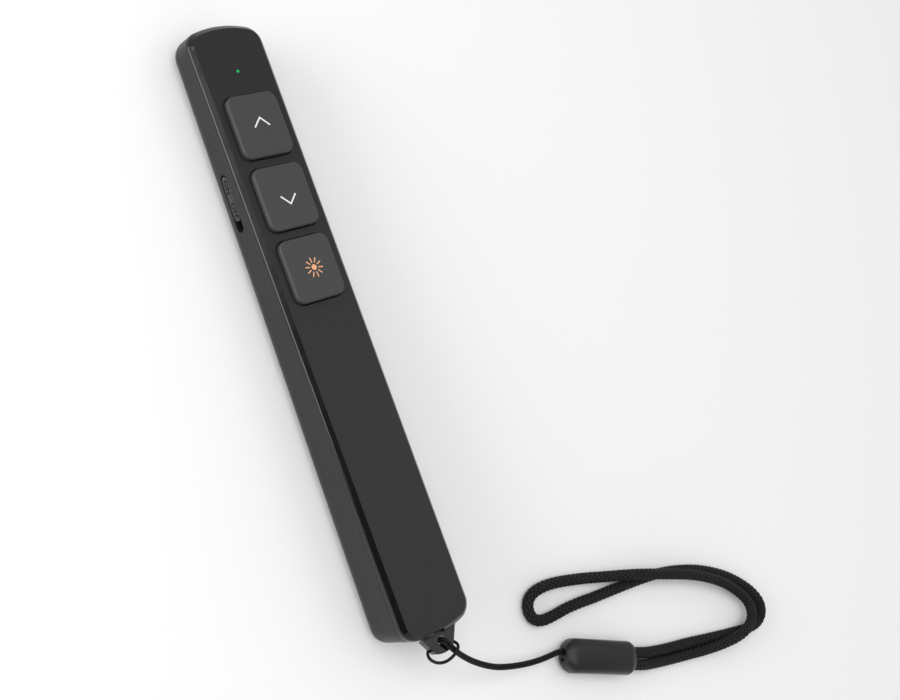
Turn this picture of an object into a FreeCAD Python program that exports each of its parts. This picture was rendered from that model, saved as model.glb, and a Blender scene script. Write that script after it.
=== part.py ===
"""Wireless presentation clicker with a wrist loop.

Millimetres, +Z up, the clicker lying on its flat back. +Y runs from the strap end to the
laser end and +X to the right of someone who reads the keys. The origin is on the resting
surface, under the middle of the clicker.

The face is tilted by the body's wedge, so the upper casing, the keys and the circuit board
are drawn in the face's own frame: y along the face from the strap end, z out of the face.
The lower casing, the battery cover and the receiver are drawn on the resting surface.
"""
import FreeCAD, Part

import math
import os

import Sketcher

Vector = FreeCAD.Vector
Placement = FreeCAD.Placement
Rotation = FreeCAD.Rotation

# Driving dimensions, millimetres.
DIMENSIONS = {
    # body
    "body_long": 145.0,
    "body_wide": 19.9,
    "thick_strap": 15.6,
    "thick_laser": 9.9,
    "end_radius": 26.0,
    "corner_radius": 4.2,
    "back_radius": 4.0,
    "wall": 1.5,
    "face_chamfer": 1.12,
    "rim_rounding": 0.9,
    "seam_drop_strap": 2.6,
    "seam_drop_laser": 1.25,
    "seam_vee": 0.18,
    # keys
    "key_wide": 13.28,
    "key_long": 14.72,
    "key_corner": 2.2,
    "key_pitch": 17.02,
    "first_key": 120.45,
    "key_rise": 1.25,
    "key_travel": 0.45,
    "key_gap": 0.3,
    "key_flange": 0.95,
    "key_wall": 1.3,
    # circuit board
    "board_start": 82.6,
    "board_end": 134.6,
    "board_wide": 15.0,
    "board_top": 6.6,
    "board_thick": 1.0,
    "switch_side": 6.0,
    "switch_high": 2.8,
    "plunger_radius": 1.0,
    # power switch
    "slot_centre": 105.6,
    "slot_level": 5.85,
    "slot_long": 13.4,
    "slot_high": 2.7,
    "slider_long": 10.4,
    "slider_high": 2.3,
    "slider_travel": 2.2,
    # battery compartment and cover
    "cover_start": 28.8,
    "cover_end": 80.0,
    "cover_high": 2.8,
    "cover_wall": 0.95,
    "cover_gap": 0.15,
    "cell_start": 29.9,
    "cell_long": 44.5,
    "cell_radius": 5.25,
    "cell_axis": 6.5,
    # receiver
    "bay_start": 5.6,
    "bay_long": 19.8,
    "bay_wide": 15.0,
    "bay_deep": 6.8,
    "receiver_gap": 0.3,
    "receiver_cap_long": 7.0,
    "plug_wide": 12.0,
    "plug_high": 4.5,
    # laser
    "laser_level": 5.2,
    "laser_radius": 2.9,
    "aperture_radius": 1.8,
    # tongue and cord
    "tongue_drop": 1.8,
    "tongue_thick": 2.0,
    "cord_hole_radius": 1.1,
    "cord_radius": 0.375,
    "loop_radius": 1.4,
    "bead_long": 24.0,
    "bead_wide": 8.6,
    "bead_high": 6.4,
}

SLOPE = (DIMENSIONS["thick_strap"] - DIMENSIONS["thick_laser"]) / DIMENSIONS["body_long"]
DIMENSIONS["wedge_cos"] = 1.0 / math.hypot(1.0, SLOPE)
DIMENSIONS["wedge_sin"] = SLOPE / math.hypot(1.0, SLOPE)
WEDGE_DEGREES = math.degrees(math.atan(SLOPE))

KEY_NAMES = ("page_up", "page_down", "laser")

# Distance from the strap end of the face to the middle of the whole length, tongue included.
MIDDLE = 70.15

# Smaller sizes: the upper casing and its tongue.
SEAM_OVERLAP = 0.6
TONGUE_ROOT = 1.6
TONGUE_OUTLINE = [
    (-6.4, TONGUE_ROOT), (-6.4, 0.95, -2.6), (-4.35, -0.75), (-2.75, -3.55, 1.0),
    (-1.9, -4.14, 6.8), (1.9, -4.14, 1.0), (2.75, -3.55), (4.35, -0.75, -2.6),
    (6.4, 0.95), (6.4, TONGUE_ROOT)]
CORD_HOLE_PLACE = -1.6
NOTCH_MIDDLE = -0.6
NOTCH_WIDE = 3.2
NOTCH_END = 0.95
NOTCH_CORNER = 0.45
TOP_HOLLOW_DEEP = 6.0
CELL_RELIEF = 0.55
CELL_RELIEF_WIDE = 6.4
LIGHT_PLACE = 133.65
LIGHT_RADIUS = 0.46
LIGHT_GAP = 0.04
LED_HIGH = 0.75

# The screw that holds the casings together, and its boss.
SCREW_PLACE = 77.2
SCREW_RADIUS = 0.7
SCREW_LONG = 6.5
SCREW_HEAD_HIGH = 1.2
SCREW_RECESS_LONG = 1.8
SCREW_RECESS_WIDE = 0.5
SCREW_RECESS_DEEP = 0.6
PILOT_GAP = 0.25
BOSS_RADIUS = 1.5
BOSS_LONG = 6.4

# The lower casing's inner walls.
BLOCK_HIGH = 14.0
OVERLAP = 0.1
BAY_WALL_START = 26.4
END_WALL_THICK = 1.3
PARTITION_WIDE = 17.4
PARTITION_HIGH = 7.4
SHELF_START = 75.4
SHELF_THICK = 1.6
TRAY_ROOF = 1.1
CELL_RIBS = (38.0, 64.0)
CELL_RIB_HIGH = 5.6
CELL_RIB_THICK = 1.2
CELL_RIB_END = 8.6
BOARD_POSTS = (84.0, 132.4)
BOARD_POST_TOPS = (4.64, 2.74)
POST_APART = 6.0
POST_RADIUS = 1.1
SADDLE_START = 136.6
SADDLE_WIDE = 4.4
SADDLE_LONG = 4.0
OPENING_WIDE = 24.0
HOOK_APART = 4.9
HOOK_WIDE = 2.4
HOOK_THICK = 0.95
HOOK_LONG = 2.5
HOOK_ROOT = 1.6
HOOK_SLOT_LEVEL = 0.9
HOOK_SLOT_HIGH = 2.4
HOOK_SLOT_GAP = 0.35
HOOK_SLOT_DEEP = 1.45
SCOOP_PLACE = 1.6
SCOOP_RADIUS = 3.4
SCOOP_DEEP = 2.4
COVER_RECESS = 0.1

# Keys and their switches.
FLANGE_GAP = 0.2
FLANGE_THICK = 0.9
KEY_TOP_ROUNDING = 0.5
KEY_POST_RADIUS = 1.6
PLUNGER_TOP = 2.95
PLUNGER_LONG = 1.8
PLUNGER_GAP = 0.08
SWITCH_FLOOR = 0.9
SWITCH_CORNER = 0.5

# Circuit board.
BOARD_CORNER = 1.0
CHIP_SIZE = (4.0, 4.0, 0.85)
CHIP_CORNER = (-2.0, 92.9)
CRYSTAL_SIZE = (3.2, 2.5, 0.7)
CRYSTAL_CORNER = (1.2, 110.6)
LED_WIDE = 1.6
LED_LONG = 0.8
PIPE_FOOT_RADIUS = 0.8
PIPE_COLLAR_RADIUS = 1.1
PIPE_COLLAR_THICK = 1.0
PIPE_COLLAR_DROP = 0.14

# Power switch.
SLIDER_RECESS = 0.1
SLIDER_END_GAP = 0.4
SLIDER_THICK = 1.6
SLIDER_FLANGE = (12.0, 3.4, 0.42)
SLIDER_BARS = (("low", -0.55), ("high", 0.55))
SLIDER_BAR = (0.32, 1.6, 0.08)
STEM_START = -7.83
STEM = (1.2, 1.4, 0.7)
SWITCH_CASE_FOOT = 5.04
SWITCH_CASE_MIDDLE = -5.75
SWITCH_CASE_START = 101.1
SWITCH_CASE = (3.3, 9.0, 2.0)
SWITCH_WINDOW_START = -6.4
SWITCH_WINDOW_SPARE = 1.8
SWITCH_WINDOW_HIGH = 1.0

# Cell and contacts.
CELL_NUB_LONG = 1.0
CELL_NUB_OVERLAP = 0.5
CELL_NUB_RADIUS = 1.9
CONTACT_THICK = 0.3
CONTACT_SIDE = 8.0
CONTACT_CORNER = 0.8
CONTACT_DIMPLE_RADIUS = 1.6
CONTACT_GAP = 0.2

# Receiver.
RECEIVER_ROUNDING = 1.2
PLUG_CORNER = 0.5
PLUG_INNER_CORNER = 0.3
PLUG_SHEET = 0.3
PLUG_TONGUE_WIDE = 11.2
PLUG_TONGUE_THICK = 1.8
PLUG_TONGUE_RISE = 0.1
PLUG_TONGUE_INSET = 0.5

# Laser.
BARREL_START = 135.3
BARREL_END = 142.5
LENS_RADIUS = 2.3
DIODE_LONG = 2.6
LENS_INSET = 1.0
LENS_THICK = 0.9

# Lanyard.
HOLE_FOOT = 11.0
STRAND_APART = 0.8
BEAD_START = (40.3, -92.6, 3.2)
BEAD_DIRECTION = (-0.425, 0.905)
BEAD_CORNER = 2.8
BEAD_BEVEL = 1.2
BEAD_HOLE_PLACE = (-1.1, -0.2)
BEAD_HOLE_RADIUS = 0.5
BEAD_HOLE_DEEP = 2.5

document = FreeCAD.newDocument("clicker")
sheet = document.addObject("Spreadsheet::Sheet", "dims")
sub_parts = []


def fill_sheet():
    """Write each driving dimension as a plain number with its alias."""
    for row, (alias, value) in enumerate(DIMENSIONS.items(), start=1):
        sheet.set("A%d" % row, alias)
        sheet.set("B%d" % row, repr(value))
        sheet.setAlias("B%d" % row, alias)
    document.recompute()


class Size:
    """A length and the sheet formula that gives it."""

    def __init__(self, value, text=None):
        self.value = float(value)
        self.text = text if text is not None else repr(float(value))

    def __add__(self, other):
        return combine(self, other, "+", self.value + as_size(other).value)

    def __sub__(self, other):
        return combine(self, other, "-", self.value - as_size(other).value)

    def __mul__(self, other):
        return combine(self, other, "*", self.value * as_size(other).value)

    def __truediv__(self, other):
        return combine(self, other, "/", self.value / as_size(other).value)

    def __neg__(self):
        return Size(-self.value, "(0 - %s)" % self.text)

    __radd__ = __add__

    def __rsub__(self, other):
        return as_size(other) - self

    def __rmul__(self, other):
        return as_size(other) * self


def as_size(number):
    return number if isinstance(number, Size) else Size(number)


def combine(left, right, sign, value):
    return Size(value, "(%s %s %s)" % (as_size(left).text, sign, as_size(right).text))


def dim(alias):
    return Size(DIMENSIONS[alias], "dims.%s" % alias)


def bind(thing, field, size):
    """Set a length of a feature from its sheet formula."""
    thing.setExpression(field, as_size(size).text)


# Frames.

def face_frame(along=0.0):
    """The face's frame, moved along the face."""
    tilt = Rotation(Vector(1, 0, 0), -WEDGE_DEGREES)
    corner = Vector(0, -MIDDLE, DIMENSIONS["thick_strap"] * DIMENSIONS["wedge_cos"])
    return Placement(corner, tilt) * Placement(Vector(0, along, 0), Rotation())


def floor_frame():
    """The resting surface's frame, under the strap end of the seam."""
    shift = DIMENSIONS["seam_drop_strap"] * DIMENSIONS["wedge_sin"]
    return Placement(Vector(0, -MIDDLE - shift, 0), Rotation())


# Sketching.

def new_body(label, placement):
    body = document.addObject("PartDesign::Body", label)
    body.Label = label
    body.Placement = placement
    sub_parts.append(body)
    return body


def origin_plane(body, role):
    return next(item for item in body.Origin.OriginFeatures if item.Role == role)


def new_sketch(body, name, role="XY_Plane", offset=0.0):
    sketch = body.newObject("Sketcher::SketchObject", name)
    sketch.AttachmentSupport = [(origin_plane(body, role), "")]
    sketch.MapMode = "FlatFace"
    bind(sketch, "AttachmentOffset.Base.z", offset)
    return sketch


def pin(sketch, item, point, corner):
    """Hold one end of an edge at a place given by two sizes."""
    for kind, axis, size in (("DistanceX", -2, corner[0]), ("DistanceY", -1, corner[1])):
        size = as_size(size)
        if abs(size.value) < 1e-9:
            sketch.addConstraint(Sketcher.Constraint("PointOnObject", item, point, axis))
            continue
        rule = Sketcher.Constraint(kind, -1, 1, item, point, size.value)
        index = sketch.addConstraint(rule)
        bind(sketch, "Constraints[%d]" % index, size)


def arc_between(start, end, radius):
    """Arc edge from start to end. A positive radius turns left, a negative one right."""
    (x0, y0), (x1, y1) = start, end
    half = math.hypot(x1 - x0, y1 - y0) / 2
    reach = math.sqrt(max(radius * radius - half * half, 0.0))
    side = 1 if radius > 0 else -1
    across = (-(y1 - y0) / (2 * half) * side, (x1 - x0) / (2 * half) * side)
    centre = ((x0 + x1) / 2 + across[0] * reach, (y0 + y1) / 2 + across[1] * reach)
    first = math.atan2(y0 - centre[1], x0 - centre[0])
    last = math.atan2(y1 - centre[1], x1 - centre[0])
    circle = Part.Circle(Vector(centre[0], centre[1], 0), Vector(0, 0, 1), abs(radius))
    if side > 0:
        return Part.ArcOfCircle(circle, first, last if last > first else last + 2 * math.pi)
    return Part.ArcOfCircle(circle, last, first if first > last else first + 2 * math.pi)


def outline(sketch, corners):
    """Close a profile. A corner is (x, y) or (x, y, radius of the arc that leaves it)."""
    ends = []
    for index, corner in enumerate(corners):
        after = corners[(index + 1) % len(corners)]
        start = (as_size(corner[0]).value, as_size(corner[1]).value)
        end = (as_size(after[0]).value, as_size(after[1]).value)
        if len(corner) == 2:
            edge = Part.LineSegment(Vector(start[0], start[1], 0), Vector(end[0], end[1], 0))
            ends.append((sketch.addGeometry(edge, False), 1, 2))
            continue
        radius = as_size(corner[2])
        item = sketch.addGeometry(arc_between(start, end, radius.value), False)
        ends.append((item, 1, 2) if radius.value > 0 else (item, 2, 1))
        if abs(start[0] - end[0]) < 1e-6 and abs(end[1] - start[1]) > 1.999 * abs(radius.value):
            # A half circle on an upright chord is held by its centre instead.
            number = sketch.addConstraint(
                Sketcher.Constraint("DistanceX", -1, 1, item, 3, start[0]))
            bind(sketch, "Constraints[%d]" % number, corner[0])
            continue
        number = sketch.addConstraint(Sketcher.Constraint("Radius", item, abs(radius.value)))
        bind(sketch, "Constraints[%d]" % number, radius if radius.value > 0 else -radius)
    for index, (item, first, last) in enumerate(ends):
        following = ends[(index + 1) % len(ends)]
        joined = Sketcher.Constraint("Coincident", item, last, following[0], following[1])
        sketch.addConstraint(joined)
        pin(sketch, item, first, corners[index])


def rectangle(sketch, x_mid, y_low, wide, tall):
    half = as_size(wide) / 2
    left = as_size(x_mid) - half
    right = as_size(x_mid) + half
    top = as_size(y_low) + tall
    outline(sketch, [(left, y_low), (right, y_low), (right, top), (left, top)])


def rounded_rectangle(sketch, wide, tall, radius, x_mid=0.0, y_mid=0.0):
    half_x = as_size(wide) / 2
    half_y = as_size(tall) / 2
    radius = as_size(radius)
    left = as_size(x_mid) - half_x
    right = as_size(x_mid) + half_x
    low = as_size(y_mid) - half_y
    high = as_size(y_mid) + half_y
    outline(sketch, [
        (left + radius, low), (right - radius, low, radius),
        (right, low + radius), (right, high - radius, radius),
        (right - radius, high), (left + radius, high, radius),
        (left, high - radius), (left, low + radius, radius)])


def circle(sketch, x, y, radius):
    x, y, radius = as_size(x), as_size(y), as_size(radius)
    item = sketch.addGeometry(
        Part.Circle(Vector(x.value, y.value, 0), Vector(0, 0, 1), radius.value), False)
    number = sketch.addConstraint(Sketcher.Constraint("Radius", item, radius.value))
    bind(sketch, "Constraints[%d]" % number, radius)
    pin(sketch, item, 3, (x, y))


def slot(sketch, x_mid, y_mid, long, high):
    """Slot with round ends, drawn along x."""
    radius = as_size(high) / 2
    reach = as_size(long) / 2 - radius
    left = as_size(x_mid) - reach
    right = as_size(x_mid) + reach
    low = as_size(y_mid) - radius
    high_line = as_size(y_mid) + radius
    outline(sketch, [
        (left, low), (right, low, radius), (right, high_line), (left, high_line, radius)])


def body_plan(sketch, long, inset=0.0):
    """Plan of the casing: straight sides, round corners and slightly domed ends."""
    half = as_size(dim("body_wide")) / 2 - inset
    corner = dim("corner_radius") - inset
    dome = dim("end_radius") - inset
    low = as_size(inset)
    high = as_size(long) - inset
    # Where a corner's arc meets the dome, both arcs share a normal through the dome's centre.
    reach = half - corner
    drop = math.sqrt((dome - corner).value ** 2 - reach.value ** 2)
    share = dome.value / (dome - corner).value
    touch = reach * share
    sag = dome - Size(drop * share)
    side = dome - Size(drop)
    outline(sketch, [
        (-touch, low + sag, dome), (touch, low + sag, corner),
        (half, low + side), (half, high - side, corner),
        (touch, high - sag, dome), (-touch, high - sag, corner),
        (-half, high - side), (-half, low + side, corner)])


def pad(body, name, sketch, length, down=False):
    feature = body.newObject("PartDesign::Pad", name)
    feature.Profile = sketch
    feature.Reversed = down
    bind(feature, "Length", length)
    return feature


def pocket(body, name, sketch, length=None, reverse=False, both=False):
    feature = body.newObject("PartDesign::Pocket", name)
    feature.Profile = sketch
    feature.Reversed = reverse
    feature.Midplane = both
    if length is None:
        feature.Type = "ThroughAll"
    else:
        bind(feature, "Length", length)
    document.recompute()
    before = feature.BaseFeature.Shape.Volume
    if not feature.Shape.Volume < before - 1e-4:
        raise RuntimeError("%s cuts nothing" % name)
    return feature


def edges_where(shape, test):
    return ["Edge%d" % (n + 1) for n, edge in enumerate(shape.Edges) if test(edge)]


def round_edges(body, name, radius, test):
    document.recompute()
    base = body.Tip
    feature = body.newObject("PartDesign::Fillet", name)
    feature.Base = (base, edges_where(base.Shape, test))
    bind(feature, "Radius", radius)
    document.recompute()
    return feature


def bevel_edges(body, name, size, test):
    document.recompute()
    base = body.Tip
    feature = body.newObject("PartDesign::Chamfer", name)
    feature.Base = (base, edges_where(base.Shape, test))
    bind(feature, "Size", size)
    document.recompute()
    return feature


def lies_at_height(level):
    def test(edge):
        box = edge.BoundBox
        return abs(box.ZMin - level) < 1e-4 and abs(box.ZMax - level) < 1e-4
    return test


# Casings.

def seam_line(y_start, y_end, in_face_frame):
    """Two points of the seam in side view, continued past both ends."""
    if in_face_frame:
        strap = -DIMENSIONS["seam_drop_strap"]
        laser = -DIMENSIONS["seam_drop_laser"]
        length = DIMENSIONS["body_long"]
    else:
        strap = (DIMENSIONS["thick_strap"] - DIMENSIONS["seam_drop_strap"]) * DIMENSIONS["wedge_cos"]
        laser = (DIMENSIONS["thick_laser"] - DIMENSIONS["seam_drop_laser"]) * DIMENSIONS["wedge_cos"]
        length = floor_length().value
    rise = (laser - strap) / length
    return (y_start, strap + rise * y_start), (y_end, strap + rise * y_end)


def floor_length():
    """Length of the lower casing on the resting surface."""
    drop = dim("seam_drop_strap") - dim("seam_drop_laser")
    return dim("body_long") * dim("wedge_cos") + drop * dim("wedge_sin")


def make_top_housing():
    body = new_body("top_housing", face_frame())
    plan = new_sketch(body, "top_plan")
    body_plan(plan, dim("body_long"))
    pad(body, "top_block", plan, dim("seam_drop_strap") + SEAM_OVERLAP, down=True)
    bevel_edges(body, "face_bevel", dim("face_chamfer"), lies_at_height(0.0))
    round_edges(body, "bevel_rounding", dim("rim_rounding"),
                lies_at_height(-DIMENSIONS["face_chamfer"]))

    tongue = new_sketch(body, "tongue_plan", offset=-dim("tongue_drop"))
    outline(tongue, TONGUE_OUTLINE)
    pad(body, "tongue", tongue, dim("tongue_thick"), down=True)

    side = new_sketch(body, "seam_side", "YZ_Plane")
    (y0, z0), (y1, z1) = seam_line(-0.05, 150.0, True)
    outline(side, [(y0, -9.0), (y1, -9.0), (y1, z1), (y0, z0)])
    pocket(body, "seam_cut", side, both=True)

    inside = new_sketch(body, "top_hollow_plan", offset=-dim("wall"))
    body_plan(inside, dim("body_long"), dim("wall"))
    pocket(body, "top_hollow", inside, TOP_HOLLOW_DEEP)

    relief = new_sketch(body, "cell_relief_plan", offset=-dim("wall"))
    rectangle(relief, 0, dim("cell_start") - 0.8, CELL_RELIEF_WIDE, dim("cell_long") + 1.2)
    pocket(body, "cell_relief", relief, CELL_RELIEF, reverse=True)

    windows = new_sketch(body, "window_plan")
    for number in range(3):
        middle = dim("first_key") - dim("key_pitch") * number
        rounded_rectangle(windows, dim("key_wide") + dim("key_gap") * 2,
                          dim("key_long") + dim("key_gap") * 2,
                          dim("key_corner") + dim("key_gap"), 0, middle)
    pocket(body, "key_windows", windows)

    holes = new_sketch(body, "hole_plan")
    circle(holes, 0, LIGHT_PLACE, LIGHT_RADIUS + LIGHT_GAP)
    circle(holes, 0, CORD_HOLE_PLACE, dim("cord_hole_radius"))
    pocket(body, "small_holes", holes)

    notch = new_sketch(body, "cord_notch_plan")
    rounded_rectangle(notch, NOTCH_WIDE, NOTCH_END * 2, NOTCH_CORNER, NOTCH_MIDDLE, 0)
    pocket(body, "cord_notch", notch, dim("tongue_drop"))

    boss = new_sketch(body, "boss_plan", offset=-dim("wall") + OVERLAP)
    circle(boss, 0, SCREW_PLACE, BOSS_RADIUS)
    pad(body, "screw_boss", boss, BOSS_LONG, down=True)
    pilot = new_sketch(body, "pilot_plan", offset=-dim("wall") - 1.0)
    circle(pilot, 0, SCREW_PLACE, SCREW_RADIUS + PILOT_GAP)
    pocket(body, "screw_pilot", pilot, BOSS_LONG)
    return body


def make_bottom_housing():
    body = new_body("bottom_housing", floor_frame())
    plan = new_sketch(body, "bottom_plan")
    body_plan(plan, floor_length())
    pad(body, "bottom_block", plan, BLOCK_HIGH)

    side = new_sketch(body, "bottom_seam_side", "YZ_Plane")
    (y0, z0), (y1, z1) = seam_line(-5.0, 150.0, False)
    outline(side, [(y0, z0), (y1, z1), (y1, 20.0), (y0, 20.0)])
    pocket(body, "bottom_seam_cut", side, both=True)
    round_edges(body, "back_rounding", dim("back_radius"), lies_at_height(0.0))

    inside = new_sketch(body, "bottom_hollow_plan", offset=BLOCK_HIGH)
    body_plan(inside, floor_length(), dim("wall"))
    pocket(body, "bottom_hollow", inside, BLOCK_HIGH - dim("wall"))
    round_edges(body, "floor_rounding", dim("back_radius") - dim("wall"),
                lies_at_height(DIMENSIONS["wall"]))
    bevel_edges(body, "seam_vee", dim("seam_vee"), on_outer_rim)

    floor_start = dim("wall") - OVERLAP
    opening_start = dim("cover_start") - dim("cover_gap")
    opening_end = dim("cover_end") + dim("cover_gap")
    walls = new_sketch(body, "partition_plan", offset=floor_start)
    rectangle(walls, 0, BAY_WALL_START, PARTITION_WIDE, opening_start - BAY_WALL_START)
    rectangle(walls, 0, opening_end, PARTITION_WIDE, END_WALL_THICK)
    pad(body, "partitions", walls, PARTITION_HIGH)

    shelf = new_sketch(body, "shelf_plan", offset=dim("cover_high") + dim("cover_gap"))
    rectangle(shelf, 0, SHELF_START, PARTITION_WIDE, dim("cover_end") - SHELF_START + 0.5)
    pad(body, "screw_shelf", shelf, SHELF_THICK)

    tray = new_sketch(body, "tray_plan", offset=floor_start)
    tray_start = dim("bay_start") - 1.0
    rectangle(tray, 0, tray_start, PARTITION_WIDE, BAY_WALL_START - tray_start + 0.5)
    pad(body, "receiver_tray", tray, dim("bay_deep") - dim("wall") + TRAY_ROOF)

    ribs = new_sketch(body, "rib_plan", offset=dim("cover_high") + dim("cover_gap"))
    for place in CELL_RIBS:
        for side_sign in (-1, 1):
            middle = side_sign * (dim("cell_radius") + CELL_RIB_END) / 2
            rectangle(ribs, middle, place, CELL_RIB_END - dim("cell_radius"), CELL_RIB_THICK)
    pad(body, "cell_ribs", ribs, CELL_RIB_HIGH)

    for name, place, top in (("strap", BOARD_POSTS[0], BOARD_POST_TOPS[0]),
                             ("laser", BOARD_POSTS[1], BOARD_POST_TOPS[1])):
        posts = new_sketch(body, "post_plan_%s" % name, offset=floor_start)
        for side_sign in (-1, 1):
            circle(posts, side_sign * POST_APART, place, POST_RADIUS)
        pad(body, "posts_%s" % name, posts, top - floor_start)

    saddle = new_sketch(body, "saddle_plan", offset=floor_start)
    rectangle(saddle, 0, SADDLE_START, SADDLE_WIDE, SADDLE_LONG)
    pad(body, "laser_saddle", saddle, dim("laser_level") - dim("laser_radius") - floor_start)

    opening = new_sketch(body, "opening_plan")
    rectangle(opening, 0, opening_start, OPENING_WIDE, opening_end - opening_start)
    pocket(body, "cover_opening", opening, dim("cover_high") + dim("cover_gap"), reverse=True)

    hooks = new_sketch(body, "hook_slots_plan", "XZ_Plane", offset=-dim("cover_end"))
    for side_sign in (-1, 1):
        rectangle(hooks, side_sign * HOOK_APART, HOOK_SLOT_LEVEL, HOOK_WIDE + HOOK_SLOT_GAP * 2,
                  HOOK_SLOT_HIGH)
    pocket(body, "hook_slots", hooks, HOOK_SLOT_DEEP)

    bay = new_sketch(body, "bay_plan")
    rectangle(bay, 0, dim("bay_start"), dim("bay_wide"), dim("bay_long"))
    pocket(body, "receiver_bay", bay, dim("bay_deep"), reverse=True)
    scoop = new_sketch(body, "scoop_plan")
    circle(scoop, 0, dim("bay_start") + SCOOP_PLACE, SCOOP_RADIUS)
    pocket(body, "finger_scoop", scoop, SCOOP_DEEP, reverse=True)

    screw_way = new_sketch(body, "screw_way_plan")
    circle(screw_way, 0, SCREW_PLACE, SCREW_RADIUS + PILOT_GAP)
    pocket(body, "screw_way", screw_way, reverse=True)

    slot_face = new_sketch(body, "switch_slot_side", "YZ_Plane")
    slot(slot_face, dim("slot_centre"), dim("slot_level"), dim("slot_long"), dim("slot_high"))
    pocket(body, "switch_slot", slot_face)

    aperture = new_sketch(body, "aperture_face", "XZ_Plane", offset=-140.0)
    circle(aperture, 0, dim("laser_level"), dim("aperture_radius"))
    pocket(body, "laser_aperture", aperture)
    return body


def on_outer_rim(edge):
    """True for the outer edges of the lower casing's sloping rim."""
    (y0, z0), (y1, z1) = seam_line(0.0, 100.0, False)
    rise = (z1 - z0) / (y1 - y0)
    for vertex in edge.Vertexes:
        if abs(vertex.Z - z0 - rise * vertex.Y) > 1e-3:
            return False
    middle = edge.valueAt((edge.FirstParameter + edge.LastParameter) / 2)
    if abs(middle.z - z0 - rise * middle.y) > 1e-3:
        return False
    half = DIMENSIONS["body_wide"] / 2
    long = floor_length().value
    inner = DIMENSIONS["wall"] * 0.6
    return abs(middle.x) > half - inner or corner_side(middle, half, long)


def corner_side(point, half, long):
    """True on the outer outline of the round corners and the domed ends."""
    dome = DIMENSIONS["end_radius"]
    from_strap = math.hypot(point.x, point.y - dome)
    from_laser = math.hypot(point.x, point.y - long + dome)
    reach = dome - DIMENSIONS["wall"] * 0.6
    if abs(point.x) < half - DIMENSIONS["corner_radius"]:
        return (point.y < 8 and from_strap > reach) or (point.y > long - 8 and from_laser > reach)
    corner = DIMENSIONS["corner_radius"]
    centre_x = half - corner
    centre_y = dome - math.sqrt((dome - corner) ** 2 - centre_x ** 2)
    for middle in (centre_y, long - centre_y):
        away = math.hypot(abs(point.x) - centre_x, point.y - middle)
        if corner - DIMENSIONS["wall"] * 0.6 < away < corner + 0.8:
            return True
    return False


def make_battery_cover():
    body = new_body("battery_cover", floor_frame())
    flat = as_size(COVER_RECESS)
    centre_x = dim("body_wide").value / 2 - dim("back_radius").value
    radius = DIMENSIONS["back_radius"]
    thin = radius - DIMENSIONS["cover_wall"]

    def across(at_radius, height):
        return centre_x + math.sqrt(at_radius ** 2 - (radius - height) ** 2)

    top = DIMENSIONS["cover_high"]
    inner_floor = COVER_RECESS + DIMENSIONS["cover_wall"]
    outer_low, outer_high = across(radius, COVER_RECESS), across(radius, top)
    inner_low, inner_high = across(thin, inner_floor), across(thin, top)
    section = new_sketch(body, "cover_section", "XZ_Plane", offset=-dim("cover_start"))
    rim = dim("cover_high")
    plate_top = flat + dim("cover_wall")
    inner_bend = dim("cover_wall") - dim("back_radius")
    outline(section, [
        (-outer_low, flat), (outer_low, flat, dim("back_radius")),
        (outer_high, rim), (inner_high, rim, inner_bend),
        (inner_low, plate_top), (-inner_low, plate_top, inner_bend),
        (-inner_high, rim), (-outer_high, rim, dim("back_radius"))])
    pad(body, "cover_shell", section, dim("cover_end") - dim("cover_start"), down=True)

    hooks = new_sketch(body, "hook_section", "XZ_Plane", offset=-dim("cover_end") + HOOK_ROOT)
    for side_sign in (-1, 1):
        rectangle(hooks, side_sign * HOOK_APART, inner_floor - OVERLAP, HOOK_WIDE, HOOK_THICK)
    pad(body, "cover_hooks", hooks, HOOK_LONG, down=True)
    return body


# Keys, switches and board.

def make_key(number, name):
    middle = DIMENSIONS["first_key"] - DIMENSIONS["key_pitch"] * number
    body = new_body("%s_button" % name, face_frame(middle))
    under = dim("wall") + FLANGE_GAP
    cap = new_sketch(body, "%s_cap_plan" % name, offset=-under)
    rounded_rectangle(cap, dim("key_wide"), dim("key_long"), dim("key_corner"))
    pad(body, "%s_cap" % name, cap, under + dim("key_rise"))
    round_edges(body, "%s_top_rounding" % name, KEY_TOP_ROUNDING, lies_at_height(DIMENSIONS["key_rise"]))
    flange = new_sketch(body, "%s_flange_plan" % name, offset=-under)
    rounded_rectangle(flange, dim("key_wide") + dim("key_flange") * 2, dim("key_long"),
                      dim("key_corner"))
    pad(body, "%s_flange" % name, flange, FLANGE_THICK, down=True)
    hollow = new_sketch(body, "%s_hollow_plan" % name, offset=-under - FLANGE_THICK)
    ceiling = dim("key_rise") - dim("key_wall")
    rounded_rectangle(hollow, dim("key_wide") - dim("key_wall") * 2,
                      dim("key_long") - dim("key_wall") * 2, dim("key_wall"))
    pocket(body, "%s_hollow" % name, hollow, under + FLANGE_THICK + ceiling, reverse=True)
    post = new_sketch(body, "%s_post_plan" % name, offset=ceiling + OVERLAP)
    circle(post, 0, 0, KEY_POST_RADIUS)
    pad(body, "%s_post" % name, post, PLUNGER_TOP + ceiling + OVERLAP, down=True)


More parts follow.
